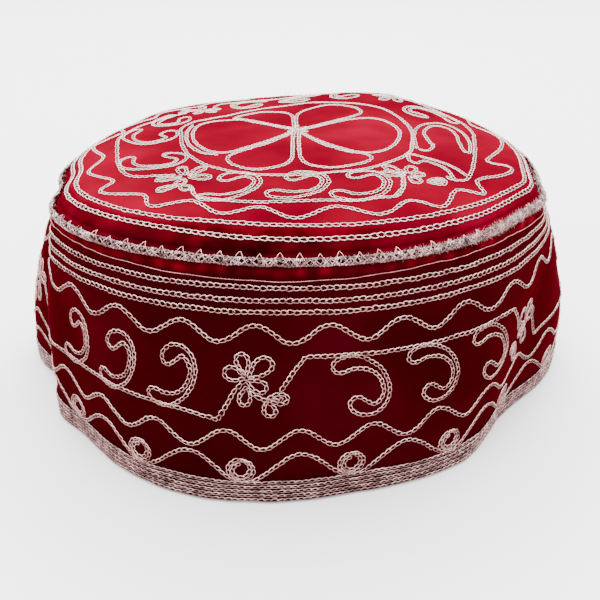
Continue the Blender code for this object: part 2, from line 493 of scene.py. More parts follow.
def wall_rows():
    for height, way in WALL_ROW_PLACES:
        yield chained(WALL, wall_ring(height)[::way], WALL_ROW, closed=True)


def hem_rows():
    for height in HEM_ROW_HEIGHTS:
        yield chained(HEM, wall_ring(height), HEM_ROW, closed=True)


def wall_waves():
    turn = 2 * math.pi * (along_wall(FULL_TURN) / ROUND)
    for middle, swing, count, start in WALL_WAVES:
        wave = wall_ring(middle + swing * np.cos(count * turn + start))
        yield chained(WALL, wave, WALL_LINE, closed=True)


def rosettes():
    """Small spirals of two turns over the arches."""
    angle = np.linspace(0, 4 * math.pi, 73)
    radius = np.interp(angle, (0, 2 * math.pi, 2.6 * math.pi, 4 * math.pi), (3.45, 3.4, 2.25, 2.1))
    spiral = np.stack([radius * np.sin(angle), radius * np.cos(angle)], -1)
    for step in range(ROSETTES):
        middle = ROUND * (step + 0.5) / ROSETTES
        yield chained(WALL, on_wall(placed(spiral, middle + ROSETTE_SHIFT, ROSETTE_HEIGHT)), SMALL_LINE)


def wall_line(knots):
    return chained(WALL, on_wall(smooth(knots)), WALL_LINE)


def wall_motifs():
    """Flowers, and between them the frame lines with three scrolls each, high and low in turn."""
    next_azimuths = (*FLOWER_AZIMUTHS[1:], FLOWER_AZIMUTHS[0] + 360)
    for step, (azimuth, next_azimuth) in enumerate(zip(FLOWER_AZIMUTHS, next_azimuths)):
        rising = step % 2 == 0
        width, shift = (1, (0, 0)) if rising else (FALLING_WIDTH, FALLING_SHIFT)
        middle = along_wall(azimuth)
        flower = (middle + shift[0], FLOWER_HEIGHT + shift[1])
        for petal in PETALS:
            yield chained(WALL, on_wall(placed(drop(*petal), *flower, width=width)), SMALL_LINE)
        for line in (STEM, FOOT, CLIMB):
            yield wall_line(placed(line, middle, FLOWER_HEIGHT, width=width))
        frame_line = HIGH_FRAME if rising else LOW_FRAME
        start = middle + frame_line.start
        length = along_wall(next_azimuth) + frame_line.end - start
        share = np.linspace(0, 1, 13)
        level = frame_line.level + frame_line.sag * (1 - (2 * share - 1) ** 4)
        yield wall_line(np.stack([start + length * share, level], -1))
        width = frame_line.width * min(1.0, length / FULL_WIDTH_LENGTH)
        for share in frame_line.shares:
            centre = along_wall(azimuth + (next_azimuth - azimuth) * share)
            shape = placed(SCROLL, centre, frame_line.height, 0, width, frame_line.flip)
            yield chained(WALL, on_wall(smooth(shape, closed=True)), SMALL_LINE)


# Rows of the crown: azimuth, and places of the inner and the outer one as shares of the crown's radius
ROW_PLACES = (
    (-180, 0.895, 0.950), (-90, 0.940, 0.975), (-60, 0.938, 0.974), (-48, 0.934, 0.969),
    (-36, 0.919, 0.957), (-24, 0.908, 0.954), (-12, 0.898, 0.965), (5, 0.898, 0.968),
    (21, 0.916, 0.969), (32, 0.922, 0.970), (45, 0.936, 0.976), (75, 0.955, 0.980),
    (95, 0.935, 0.975), (180, 0.895, 0.950),
)
# Wave of the crown: azimuth and share of the crown's radius
WAVE_KNOTS = (
    (-90, 0.93), (-75, 0.84), (-67, 0.90), (-55, 0.83), (-51, 0.895), (-41, 0.835), (-35, 0.88),
    (-27, 0.815), (-18, 0.86), (-10, 0.80), (-1, 0.855), (9, 0.795), (19, 0.87), (28, 0.815),
    (34, 0.895), (43, 0.835), (48.5, 0.905), (53, 0.84), (69, 0.90), (69, 0.80), (96, 0.915),
    (105, 0.83), (117, 0.90), (126, 0.82), (136, 0.88), (145, 0.81), (155, 0.87), (164, 0.80),
    (174, 0.86), (183, 0.80), (193, 0.87), (202, 0.80), (212, 0.87), (222, 0.81), (232, 0.88),
    (243, 0.82), (254, 0.90), (262, 0.83),
)
# Other drawings of the crown, in plan from the axis of the folds, +x to the right and +y to the back
MEDALLION = (
    (-1, -41), (-12, -40.2), (-23, -36.5), (-31, -28), (-36, -16), (-38.5, -4), (-39.5, 6), (-35, 15.5),
    (-25, 23), (-13, 31), (0, 35.5), (12, 34), (23, 29), (31.5, 20.5), (36, 8), (36.5, -3), (35, -13),
    (33, -22), (28, -29), (20, -35.5), (10, -39),
)
LEFT_PETAL = (
    (-2, -0.5), (-8.6, 4.4), (-15, 9.5), (-20, 13.2), (-27, 14), (-32, 11.5), (-34.5, 6), (-35, -1),
    (-34, -8), (-31.5, -15), (-28, -20.5), (-24, -22.5), (-20, -21.5), (-14, -16.8), (-8, -10),
    (-2, -1.8),
)
RIGHT_PETAL = (
    (0.5, -0.5), (7, 4.2), (13, 8.6), (18, 12), (23, 13.4), (27.5, 11.4), (31, 7), (32.5, 1), (32, -6),
    (30, -13.5), (27, -19), (23.5, -22.3), (19, -23), (14, -20.5), (9, -16.5), (4.5, -10.5), (0.5, -3),
)
LOWER_LEFT_PETAL = (
    (-2, -3), (-2.3, -12), (-2.2, -22), (-2.6, -30), (-5, -34.6), (-10, -36.8), (-14.5, -36.6),
    (-18.5, -34), (-21, -30), (-21.2, -26), (-19, -22.8), (-13.5, -18.6), (-8, -12.4), (-2.5, -4.5),
)
LOWER_RIGHT_PETAL = (
    (-0.2, -3), (-0.4, -12), (-0.2, -22), (0.4, -29), (2.5, -33.5), (6.5, -35), (11, -35), (16, -33),
    (19.7, -30.6), (21, -27.5), (19.2, -24.2), (14, -22.2), (9, -18.4), (5, -13), (0.8, -5),
)
UPPER_LEFT_PETAL = (
    (-2, 1.5), (-2.2, 10), (-2.8, 18), (-5, 22.8), (-9.5, 24.8), (-14.5, 24.6), (-19.5, 21.6),
    (-23, 17), (-20.5, 14.8), (-15, 11.2), (-9, 6.4), (-3, 1.4),
)
UPPER_RIGHT_PETAL = (
    (-0.8, 2), (-1.3, 10), (-0.8, 19), (2, 25.4), (6.5, 29.2), (12, 30), (17, 27.8), (20.8, 23.5),
    (21.2, 18.4), (17.5, 14.6), (12, 10.2), (7, 6), (1.5, 0.8),
)
PETAL_END = ((-36.4, 8), (-37, -1), (-35.9, -9), (-33.3, -16.4), (-29.4, -22.3), (-24.5, -24.6))
CENTRE_KNOT = (
    ((-4.2, 2.8), (-1, 0), (2.6, -2.8)),
    ((-4.2, -3.0), (-1, 0), (2.6, 3.0)),
    ((-1.1, -5), (-1, 0), (-1.2, 5)),
)
FRONT_FRAME = (
    (-29, -47), (-28.4, -50.5), (-26, -53.3), (-21, -55), (-15, -56.2), (-8, -56.8), (0, -56.8),
    (8, -56), (15, -55.2), (21, -53), (25.5, -51.6), (27.6, -48), (28.6, -41.5),
)
RIGHT_FRAME = (
    (41.1, -38.8), (42.8, -40.2), (44.9, -40), (47.2, -38.5), (49.5, -33.3), (51.8, -25.7),
    (54.8, -13.4), (56.8, -2.7), (58.2, 5), (57, 16), (52, 27), (45, 34.5), (38, 39),
)
LEFT_FRAME = (
    (-35, -38.4), (-41, -38.2), (-45.5, -37.4), (-49, -35.4), (-52, -31), (-55, -23), (-57.4, -13),
    (-59.4, -3), (-59.6, 5), (-56.5, 15), (-50, 25), (-42, 31.5),
)
BACK_FRAME = (
    (-33, 38), (-30, 46), (-22, 50.5), (-12, 53), (0, 54), (12, 53.6), (22, 51.5), (30, 48.5), (33, 44),
)
CRESCENT_TOP = (
    (32.1, -23.3), (33.8, -23.9), (35.8, -24.7), (38, -25.5), (40.2, -26.7), (42.3, -28.3),
    (44.3, -30.6), (45.8, -33.4), (47.3, -36.6),
)
CRESCENT_FOOT = (
    (32.2, -24.2), (32, -27.5), (32.7, -29.5), (34.1, -30.1), (35.5, -28.4), (37.4, -27.7),
    (39.3, -28.8), (41.1, -30.7), (42.1, -32.9), (42.8, -35.9), (43.1, -39.6),
)
LONG_SCROLL = (
    (51.6, -18.3), (50.5, -16), (50.5, -9.5), (51.3, -2), (50.9, 4.4), (49.1, 7.3), (46, 7.5),
    (43.3, 5), (40.8, 0), (40.6, -5.3), (41.1, -10.3), (41.6, -13.1), (40.3, -17), (38.2, -18.9),
    (36.3, -17), (36.2, -12.3), (37, -4), (38.7, 3), (41.5, 7), (45, 10), (49, 12), (51.5, 11.2),
    (53.3, 7.8), (54.4, 1.4), (54.3, -7), (53.2, -14),
)
# Scrolls of the crown: x, y, turn, width and height as shares of the wall's scroll
CROWN_SCROLLS = (
    (-19, -47, 0, 1.05, 0.90),
    (-0.5, -47, 0, 1.05, 0.90),
    (16.5, -46.5, 0, 1.05, 0.94),
    (46, 22, 118, 1.20, 0.80),
    (20, 45, 165, 1.00, 0.80),
    (0, 46, 180, 1.00, 0.80),
    (-19, 44, 200, 1.00, 0.80),
    (-45.5, 20, 245, 1.10, 0.85),
    (-49.5, 0, 268, 1.25, 1.05),
    (-43.5, -26, 292, 1.00, 1.05),
)
# Flowers of the crown: x, y and turn, and then their petals and stem, from the middle of the left front one
CROWN_FLOWERS = ((-32, -39.5, 0), (-36, 34, -90), (35, 41, 180))
CROWN_PETALS = (
    (-0.5, 0.8, -2.2, 6.0, 2.6),
    (0.5, 0.6, 5.0, 4.8, 2.4),
    (1.0, -0.4, 7.2, -1.9, 2.4),
    (-1.0, -0.2, -8.0, -1.6, 2.2),
    (0.0, -1.5, -1.5, -5.0, 2.6),
    (-1.5, -5.5, -6.6, -8.5, 2.2),
    (-0.8, -5.5, 2.0, -8.6, 2.6),
)
CROWN_STEM = ((2.0, -6.0), (2.4, -7.4), (3.0, -8.6))
# Smaller flower at the right front
BUD_FLOWER = (31.0, -38.8)
BUD_PETALS = (
    (-0.4, 0.8, 1.4, 6.0, 3.0),
    (-1.2, 0.6, -7.0, 4.8, 2.6),
    (-1.4, -0.8, -8.2, -0.2, 2.6),
    (-0.4, -1.4, 2.0, -4.6, 3.0),
    (0.4, -0.6, 3.8, 1.6, 2.4),
    (4.2, -3.6, 9.4, -2.9, 4.0),
    (5.2, -3.4, 8.2, -3.0, 1.4),
)
BUD_STEM = ((-2.3, -1.1), (-2.7, -7.2), (-5.7, -12.8))


def crown_rows():
    """Two rows beside the braid, at azimuths and shares of the crown's radius."""
    reach = 40
    evenly = np.ones(2 * reach + 1) / (2 * reach + 1)
    table = np.array(ROW_PLACES)
    for side in (1, 2):
        place = np.interp(FULL_TURN, table[:, 0], table[:, side])
        place = np.convolve(np.r_[place[-reach - 1 : -1], place, place[1 : reach + 1]], evenly, "valid")
        point = crown_ring(FULL_TURN, place) + MIDDLE
        yield chained(CROWN, point[:, :2], CROWN_ROW, closed=True)


def crown_wave():
    """Wavy line inside the rows, through azimuths and shares of the crown's radius."""
    first = (WAVE_KNOTS[0][0] + 360, WAVE_KNOTS[0][1])
    path = smooth((*WAVE_KNOTS, first), fineness=16)
    point = crown_ring(path[:, 0], path[:, 1]) + MIDDLE
    yield chained(CROWN, point[:, :2], CROWN_LINE, closed=True)


def crown_line(knots, stitch=CROWN_LINE, closed=False):
    return chained(CROWN, smooth(knots, closed) * MM, stitch, closed)


def crown_medallion():
    yield crown_line(MEDALLION, closed=True)
    lower = (LEFT_PETAL, RIGHT_PETAL, LOWER_LEFT_PETAL, LOWER_RIGHT_PETAL)
    for line in (*lower, UPPER_LEFT_PETAL, UPPER_RIGHT_PETAL, PETAL_END, *CENTRE_KNOT):
        yield crown_line(line)


def crown_motifs():
    """Frame lines, scrolls and flowers between the medallion and the wave."""
    for knots in (FRONT_FRAME, RIGHT_FRAME, LEFT_FRAME, BACK_FRAME, CRESCENT_TOP):
        yield crown_line(knots)
    yield crown_line(CRESCENT_FOOT, SMALL_LINE)
    yield crown_line(LONG_SCROLL, SMALL_LINE, closed=True)
    for place in CROWN_SCROLLS:
        yield crown_line(placed(SCROLL, *place), SMALL_LINE, closed=True)
    flowers = [(CROWN_PETALS, CROWN_STEM, place) for place in CROWN_FLOWERS]
    for petals, stem, place in (*flowers, (BUD_PETALS, BUD_STEM, BUD_FLOWER)):
        for petal in petals:
            yield chained(CROWN, placed(drop(*petal), *place) * MM, SMALL_LINE)
        yield crown_line(placed(stem, *place), SMALL_LINE)


# Materials
class Nodes:
    """Short way to build the nodes of one material."""

    def __init__(self, name):
        self.material = bpy.data.materials.new(name)
        self.material.use_nodes = True
        self.tree = self.material.node_tree
        self.shader = self.tree.nodes["Principled BSDF"]

    def put(self, value, socket):
        """Link an output to a socket, or give the socket a value of its own."""
        if isinstance(value, bpy.types.NodeSocket):
            self.tree.links.new(value, socket)
        else:
            socket.default_value = value

    def set(self, **values):
        """Outputs or values for the shader, with _ for each space in the name of its input."""
        for key, value in values.items():
            self.put(value, self.shader.inputs[key.replace("_", " ")])

    def add(self, kind, inputs=(), **settings):
        node = self.tree.nodes.new(kind)
        for key, value in settings.items():
            setattr(node, key, value)
        for key, value in dict(inputs).items():
            self.put(value, node.inputs[key])
        return node

    def noise(self, coordinates, scale, detail=2.0, roughness=0.5):
        inputs = {"Vector": coordinates, "Scale": scale, "Detail": detail, "Roughness": roughness}
        return self.add("ShaderNodeTexNoise", inputs).outputs["Fac"]

    def stretched(self, coordinates, scale):
        return self.add("ShaderNodeMapping", {"Vector": coordinates, "Scale": scale}).outputs["Vector"]

    def ramp(self, value, stops):
        node = self.add("ShaderNodeValToRGB", {"Fac": value})
        first, last = node.color_ramp.elements
        first.position, first.color = stops[0][0], (*stops[0][1], 1)
        last.position, last.color = stops[-1][0], (*stops[-1][1], 1)
        for position, colour in stops[1:-1]:
            node.color_ramp.elements.new(position).color = (*colour, 1)
        return node.outputs["Color"]

    def ranged(self, value, low, high):
        """Noise, which mostly runs from 0.3 to 0.7, spread from low to high."""
        inputs = {"Value": value, "From Min": 0.3, "From Max": 0.7, "To Min": low, "To Max": high}
        return self.add("ShaderNodeMapRange", inputs).outputs["Result"]

    def worked_out(self, operation, one, two=0.0):
        """Result of a sum on outputs or numbers."""
        return self.add("ShaderNodeMath", {0: one, 1: two}, operation=operation).outputs["Value"]

    def mixed(self, one, two, share=1.0, how="MULTIPLY"):
        """One colour multiplied by another, or mixed with it by a share."""
        inputs = {"Factor": share, "A": one, "B": two}
        return self.add("ShaderNodeMix", inputs, data_type="RGBA", blend_type=how).outputs["Result"]

    def bump(self, height, strength, distance, normal=None):
        inputs = {"Height": height, "Strength": strength, "Distance": distance}
        if normal is not None:
            inputs["Normal"] = normal
        return self.add("ShaderNodeBump", inputs).outputs["Normal"]


def satin(name, colours, weave, sheen, roughness, attribute=None, painted_light_colours=None):
    """Satin: long floats of thread one way, soft mottling and a red sheen towards the edges.

    The painted light colours show where the attribute of the mesh rises: painted shade on the crown's
    shoulder and a painted highlight on the puffs of the wall.
    """
    nodes = Nodes(name)
    place = nodes.add("ShaderNodeTexCoord").outputs
    uv, spot = place["UV"], place["Object"]
    colour = nodes.ramp(nodes.noise(spot, 30, 3), list(zip((0.30, 0.52, 0.72), colours)))
    if attribute:
        painted_light = nodes.ramp(nodes.noise(spot, 120, 2), list(zip((0.35, 0.50, 0.66), painted_light_colours)))
        share = nodes.add("ShaderNodeAttribute", attribute_name=attribute).outputs["Fac"]
        colour = nodes.mixed(colour, painted_light, share, "MIX")
    floats = nodes.noise(nodes.stretched(uv, weave), 1.0, 2)
    crossing = nodes.noise(nodes.stretched(uv, (weave[1] * 0.8, weave[0] * 0.9, 1)), 1.0, 1)
    creases = nodes.noise(nodes.stretched(uv, (90, 160, 1)), 1.0, 3)
    normal = nodes.bump(creases, 0.45, 0.0008)
    normal = nodes.bump(crossing, 0.15, 0.00005, normal)
    normal = nodes.bump(floats, 0.25, 0.00006, normal)
    tangent = nodes.add("ShaderNodeTangent", direction_type="UV_MAP").outputs["Tangent"]
    rough = nodes.ranged(floats, roughness - 0.05, roughness + 0.08)
    nodes.set(Base_Color=colour, Normal=normal, Tangent=tangent, Roughness=rough)
    nodes.set(Metallic=0.08, Anisotropic=0.40, Specular_IOR_Level=0.0, Specular_Tint=(1.0, 0.12, 0.16, 1))
    nodes.set(Sheen_Weight=sheen, Sheen_Roughness=0.4, Sheen_Tint=(1.0, 0.03, 0.10, 1))
    return nodes.material


# Angle of the shade for each turn of the twist: two shades round a link, or one for each turn of a cord
LINK_RHYTHM = 4 * math.pi / LINK_TWISTS
CORD_RHYTHM = 2 * math.pi
WHITE = (1.0, 1.0, 1.0)
THREAD_SHADE = (0.24, 0.16, 0.15)
INNER_SHADE = (0.14, 0.06, 0.06)
# Painted light on thread that faces down, sideways and up: darker facing down and whiter facing up, as if
# lit from above
PAINTED_LIGHT_BY_FACING = ((0.40, (0.26, 0.13, 0.13)), (0.62, (0.80, 0.50, 0.49)), (0.86, (1.0, 0.88, 0.84)))


def metal_thread(name, colours, metallic, roughness, rhythm=LINK_RHYTHM, shaded=THREAD_SHADE):
    """Metallic thread: two plies twisted together, worn in places, with painted shade where its loops meet
    and on the inner side of links, and painted light that whitens it where it faces up.
    """
    nodes = Nodes(name)
    place = nodes.add("ShaderNodeTexCoord").outputs
    uv, spot = place["UV"], place["Object"]
    wear = nodes.noise(spot, 420, 2, 0.6)
    colour = nodes.ramp(wear, list(zip((0.32, 0.50, 0.66), colours)))
    split = nodes.add("ShaderNodeSeparateXYZ", {"Vector": uv}).outputs
    facing = nodes.add("ShaderNodeNewGeometry").outputs["Normal"]
    facing = nodes.add("ShaderNodeSeparateXYZ", {"Vector": facing}).outputs
    # Painted light: thread that faces up is whiter and thread that faces down is darker
    upwards = nodes.worked_out("ADD", nodes.worked_out("MULTIPLY", facing["Z"], 0.5), 0.5)
    colour = nodes.mixed(colour, nodes.ramp(upwards, PAINTED_LIGHT_BY_FACING))
    if rhythm:
        meeting = nodes.worked_out("COSINE", nodes.worked_out("MULTIPLY", split["X"], rhythm))
        shade = nodes.ramp(meeting, ((0.15, WHITE), (0.95, shaded)))
        if rhythm == LINK_RHYTHM:
            inwards = nodes.worked_out("COSINE", nodes.worked_out("MULTIPLY", split["Y"], 2 * math.pi))
            shade = nodes.mixed(shade, nodes.ramp(inwards, ((0.30, WHITE), (0.85, INNER_SHADE))))
        colour = nodes.mixed(colour, shade)
    turn = nodes.worked_out("ADD", split["X"], split["Y"])
    plies = nodes.worked_out("SINE", nodes.worked_out("MULTIPLY", turn, 2 * math.pi))
    fibres = nodes.noise(nodes.stretched(uv, (3, 9, 1)), 2.0, 2)
    normal = nodes.bump(plies, 0.45, 0.00008)
    normal = nodes.bump(fibres, 0.25, 0.00004, normal)
    rough = nodes.ranged(wear, roughness + 0.10, roughness - 0.06)
    nodes.set(Base_Color=colour, Normal=normal, Roughness=rough)
    nodes.set(Metallic=metallic, Specular_IOR_Level=0.35)
    return nodes.material


# The crown's painted light colours are painted shade on its shoulder, which slopes away from the overhead
# light
crown_satin = satin(
    "crown_satin",
    ((0.068, 0.0001, 0.0045), (0.112, 0.0002, 0.0070), (0.170, 0.0006, 0.0125)),
    weave=(5200, 700, 1),
    sheen=0.05, roughness=0.42,
    attribute="shoulder",
    painted_light_colours=((0.014, 0.0001, 0.0007), (0.028, 0.0001, 0.0014), (0.062, 0.0002, 0.0035)),
)
# The wall's colours are darker than the crown's, in part as the wall's own darker cloth and in part as
# painted shade, since the wall faces away from the overhead light; its painted light colours are a painted
# highlight on the puffs of its gathers
wall_satin = satin(
    "wall_satin",
    ((0.0150, 0.0001, 0.0008), (0.0200, 0.0001, 0.0011), (0.0310, 0.0001, 0.0022)),
    weave=(700, 5200, 1),
    sheen=0.04, roughness=0.45,
    attribute="painted_puff_highlight",
    painted_light_colours=((0.055, 0.0002, 0.003), (0.120, 0.0004, 0.006), (0.200, 0.0010, 0.012)),
)
hem_satin = satin(
    "hem_satin",
    ((0.0030, 0.0006, 0.0008), (0.0060, 0.0008, 0.0012), (0.0110, 0.0010, 0.0016)),
    weave=(700, 5200, 1),
    sheen=0.02, roughness=0.50,
)
crown_thread = metal_thread(
    "crown_thread",
    ((0.80, 0.60, 0.57), (0.97, 0.86, 0.84), (1.0, 0.96, 0.94)),
    metallic=0.05, roughness=0.40,
)
wall_thread = metal_thread(
    "wall_thread",
    ((0.50, 0.30, 0.28), (0.96, 0.74, 0.70), (1.0, 0.93, 0.88)),
    metallic=0.15, roughness=0.32,
)
hem_thread = metal_thread(
    "hem_thread",
    ((0.17, 0.10, 0.10), (0.50, 0.34, 0.34), (0.95, 0.80, 0.77)),
    metallic=0.20, roughness=0.36, shaded=(0.22, 0.13, 0.13),
)
braid_thread = metal_thread(
    "braid_thread",
    ((0.06, 0.03, 0.035), (0.26, 0.20, 0.20), (0.95, 0.86, 0.85)),
    metallic=0.25, roughness=0.34,
    rhythm=CORD_RHYTHM,
    shaded=(0.12, 0.06, 0.06),
)
fuzz_thread = metal_thread(
    "fuzz_thread",
    ((0.30, 0.22, 0.22), (0.66, 0.58, 0.57), (0.98, 0.94, 0.92)),
    metallic=0.20, roughness=0.38, rhythm=0,
)
zigzag_thread = metal_thread(
    "zigzag_thread",
    ((0.60, 0.30, 0.32), (0.92, 0.62, 0.64), (1.0, 0.84, 0.84)),
    metallic=0.15, roughness=0.40, rhythm=0,
)
single_thread = metal_thread(
    "single_thread",
    ((0.50, 0.17, 0.20), (0.74, 0.36, 0.39), (0.92, 0.56, 0.58)),
    metallic=0.15, roughness=0.42, rhythm=0,
)


# Pieces
def dressed(piece, material, slot, *nodes):
    piece.data.materials.append(material)
    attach(piece, "root")
    if nodes:
        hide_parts(*nodes)


def cloth(name, rings, map_of, poles=False):
    """Closed cloth through rings. The last joins the first, unless these two are tiny rings at poles."""
    rows, columns = rings.shape[:2]
    quads, corner_rows, corner_columns = grid_quads(rows, columns, not poles)
    corners = map_of(corner_rows, corner_columns)
    return quad_mesh(name, rings.reshape(-1, 3), quads, corners)


def shaded_by(piece, attribute, values):
    """Values between 0 and 1 for the points of a cloth, read by its material."""
    layer = piece.data.attributes.new(attribute, "FLOAT", "POINT")
    layer.data.foreach_set("value", np.clip(values, 0, 1).astype(np.float32).ravel())
    return piece


CLOTH_STEPS = 420
ROUND_AZIMUTHS = np.arange(CLOTH_STEPS) * 360 / CLOTH_STEPS
OUTER_RINGS = 56
INNER_RINGS = 10
POLE = 0.002  # share of the crown's radius at its tiny middle ring
FINE_RINGS_FROM = 0.066  # height from which the wall has fine rings for its gathers
# Height and spread of the band of painted highlight on the puffs of the wall's gathers
PUFF_HEIGHT = 0.0682
PUFF_SPREAD = 0.0009


def crown_cloth():
    """Satin dome, its shoulder gathered to the braid and darkened with painted shade outside the rows, and
    its plain inside.
    """
    places = np.r_[POLE, np.sin(np.radians(90 * np.arange(1, OUTER_RINGS + 1) / OUTER_RINGS))]
    inner_places = np.r_[np.sin(np.radians(90 * np.arange(INNER_RINGS, 0, -1) / INNER_RINGS)), POLE]
    outer = [crown_ring(ROUND_AZIMUTHS, place) for place in places]
    inner = [crown_ring(ROUND_AZIMUTHS, place, CROWN_CLOTH, CROWN_CLOTH) for place in inner_places]
    foot = WALL_HEIGHT - BRAID_DIAMETER / 2
    axis = np.array((*MIDDLE[:2], 0.0))
    lean = ((1.009, -0.0004), (1.016, -0.0009), (1.018, foot - WALL_HEIGHT))
    turned = [((outer[-1] + axis) * (wide, wide, 1) - axis) + (0, 0, lower) for wide, lower in lean]
    turned.append(inner[0] * (1, 1, 0) + (0, 0, foot))
    rings = np.array(outer + turned + inner)

    def plan(rows, columns):
        return rings[rows % len(rings), columns % CLOTH_STEPS][..., :2]

    piece = cloth("crown_cloth", rings, plan, poles=True)
    # Painted shade on the shoulder outside the rows of the crown, strongest at the front and the left
    # front, which slope away from the overhead light
    table = np.array(ROW_PLACES)
    start = np.interp(wrapped(ROUND_AZIMUTHS), table[:, 0], table[:, 1])
    all_places = np.r_[places, [1.0] * len(turned), inner_places]
    shade_outside_rows = np.clip((all_places[:, None] - start[None]) / 0.03, 0, 1)
    front_shade = 0.95 * bell(wrapped(ROUND_AZIMUTHS + 1), 20) + 0.60 * bell(wrapped(ROUND_AZIMUTHS + 52), 26)
    return shaded_by(piece, "shoulder", shade_outside_rows * np.clip(0.04 + front_shade, 0, 1)[None])


def banded(name, profile):
    """Closed band round the cap through inset and height pairs of its section."""
    rings = np.array([wall_at(ROUND_AZIMUTHS, height, inset) for inset, height in profile])
    heights = np.array([height for _, height in profile])

    def unrolled(rows, columns):
        turn = columns * 2 * math.pi * HEM_RADIUS / CLOTH_STEPS
        return np.stack([turn, heights[rows % len(heights)]], -1)

    return cloth(name, rings, unrolled)


def wall_cloth():
    """Satin wall with finer rings at its gathers, a painted highlight on the puffs of those gathers, and
    its plain inside.
    """
    top = WALL_HEIGHT - BRAID_DIAMETER / 2 - GAP
    bottom = HEM_BAND_HEIGHT + 0.00005
    fine = np.linspace(FINE_RINGS_FROM + 0.0005, top, 10)
    outer_heights = np.r_[np.linspace(bottom, FINE_RINGS_FROM, 44), fine]
    outer = [(0.0, height) for height in outer_heights]
    inner = [(WALL_CLOTH, height) for height in np.linspace(top, bottom, 8)]
    piece = banded("wall_cloth", outer + inner)
    heights = np.r_[outer_heights, [0.0] * len(inner)][:, None]
    turn = np.radians(ROUND_AZIMUTHS)[None]
    # Painted highlight on the puffs of the gathers just under the braid, ragged in height, stronger between
    # the tucks and on the right and left of the front
    gathers = tucks(turn, *WALL_TUCKS) ** 2 * (0.5 + 0.5 * np.sin(17 * turn) * np.sin(5 * turn + 1))
    right, left = bell(wrapped(ROUND_AZIMUTHS - 50), 16), bell(wrapped(ROUND_AZIMUTHS + 30), 20)
    side = 0.45 + 0.70 * right + 0.45 * left
    ragged = 0.0004 * np.sin(29 * turn) * np.sin(11 * turn + 2)
    highlight_band = bell(heights - PUFF_HEIGHT - ragged, PUFF_SPREAD)
    return shaded_by(piece, "painted_puff_highlight", highlight_band * np.clip(0.20 + 1.3 * gathers, 0, 1) * side[None])


def hem_cloth():
    """Turned edge under the rows of stitching, flat where it meets the floor."""
    stand = -HEM_BAND_STAND * 0.5
    profile = [(WALL_CLOTH, 0.0), (stand + 0.0004, 0.0), (stand, 0.0004)]
    profile += [(stand, height) for height in np.linspace(0.0010, HEM_BAND_HEIGHT - 0.0004, 8)]
    profile += [(stand + 0.0002, HEM_BAND_HEIGHT), (WALL_CLOTH, HEM_BAND_HEIGHT)]
    return banded("hem_cloth", profile)


BRAID_DROP = 0.0013  # middle of the loose braid below the seam
BRAID_BEADS = 440
CORE_RADIUS = 0.00085
CORD_TWIST = 0.0009  # length of one turn of its twist
CORD_DISTANCE = 0.98  # millimetres from the middle of the braid
# Cords along the edges of the braid: start of their wandering, degrees from outwards towards up, and radius
EDGE_CORDS = ((1.0, -38, 0.00030), (4.0, 80, 0.00026))
CROSSING_THREADS = 3
CROSSING_RADIUS = 0.00021
ZIGZAGS = 96
ZIGZAG_RADIUS = 0.000075
FUZZ_FIBRES = 3600
FUZZ_STEPS = 3600
BraidLine = namedtuple("BraidLine", "azimuth middle ahead out up")


def braid_line(steps):
    """Middle of the braid, its way ahead, outwards and up."""
    azimuth = np.arange(steps) * 360 / steps
    middle = at(azimuth, seam_radius(azimuth), WALL_HEIGHT - BRAID_DROP) - MIDDLE
    ahead = unit(np.roll(middle, -1, 0) - np.roll(middle, 1, 0))
    up = np.broadcast_to(np.array([0.0, 0.0, 1.0]), middle.shape)
    return BraidLine(azimuth, middle, ahead, unit(np.cross(ahead, up)), up)


def on_braid(line, angle, radius):
    """Points round the braid, at an angle in degrees from outwards towards up and a radius."""
    angle = np.radians(angle)[:, None]
    return line.middle + radius[:, None] * (line.out * np.cos(angle) + line.up * np.sin(angle))


def uneven(turn, amount, start):
    """Slow irregular change round the cap."""
    waves = ((0.5, 61, 1), (0.3, 97, 2), (0.2, 151, 0))
    return amount * sum(share * np.sin(count * turn + times * start) for share, count, times in waves)


def braid_core():
    """Dark core on which the threads of the braid lie."""
    return joined("braid_core", [tube(braid_line(672).middle, CORE_RADIUS, 10, 0.0011)])


def braid_cord():
    """Two beaded cords along the edges of the braid, and threads that cross between them."""
    line = braid_line(7 * BRAID_BEADS)
    turn = np.radians(line.azimuth)
    beads = np.abs(np.sin(0.5 * BRAID_BEADS * turn))
    batches = []
    for start, angle, thick in EDGE_CORDS:
        radius = (CORD_DISTANCE + uneven(turn, 0.14, start + 2)) * MM
        middles = on_braid(line, angle + uneven(turn, 12, start), radius)
        batches.append(tube(middles, thick * (0.62 + 0.55 * beads), 5, CORD_TWIST))
    for strand in range(CROSSING_THREADS):
        crossing = 0.30 * BRAID_BEADS * turn + strand * 2.1 + uneven(turn, 2.2, strand)
        radius = (CORD_DISTANCE + 0.10 * np.cos(crossing) + uneven(turn, 0.12, strand + 3)) * MM
        middles = on_braid(line, 22 + 52 * np.sin(crossing), radius)
        batches.append(tube(middles, CROSSING_RADIUS * (0.7 + 0.4 * beads), 4, CORD_TWIST))
    return joined("braid_cord", batches)


def braid_zigzag():
    """Thin threads that cross the braid to and fro, their points caught in the shoulder."""
    line = braid_line(24 * ZIGZAGS)
    turn = line.azimuth / 360
    seen = 0.74 + 0.20 * bell(wrapped(line.azimuth + 6), 30) - 0.08 * np.sin(37 * math.tau * turn)
    batches = []
    for start, reach in ((0.0, 1.0), (0.5, 0.62)):
        swing = np.abs(2 * ((turn * ZIGZAGS + start) % 1) - 1) ** 0.9 * reach * seen
        radius = (1.16 + 1.30 * np.maximum(0, swing - 0.60) / 0.40) * MM
        middles = on_braid(line, -45 + 180 * np.clip(swing, 0, 1), radius)
        batches.append(tube(middles, ZIGZAG_RADIUS, 4, 0.0008))
    return joined("braid_zigzag", batches)


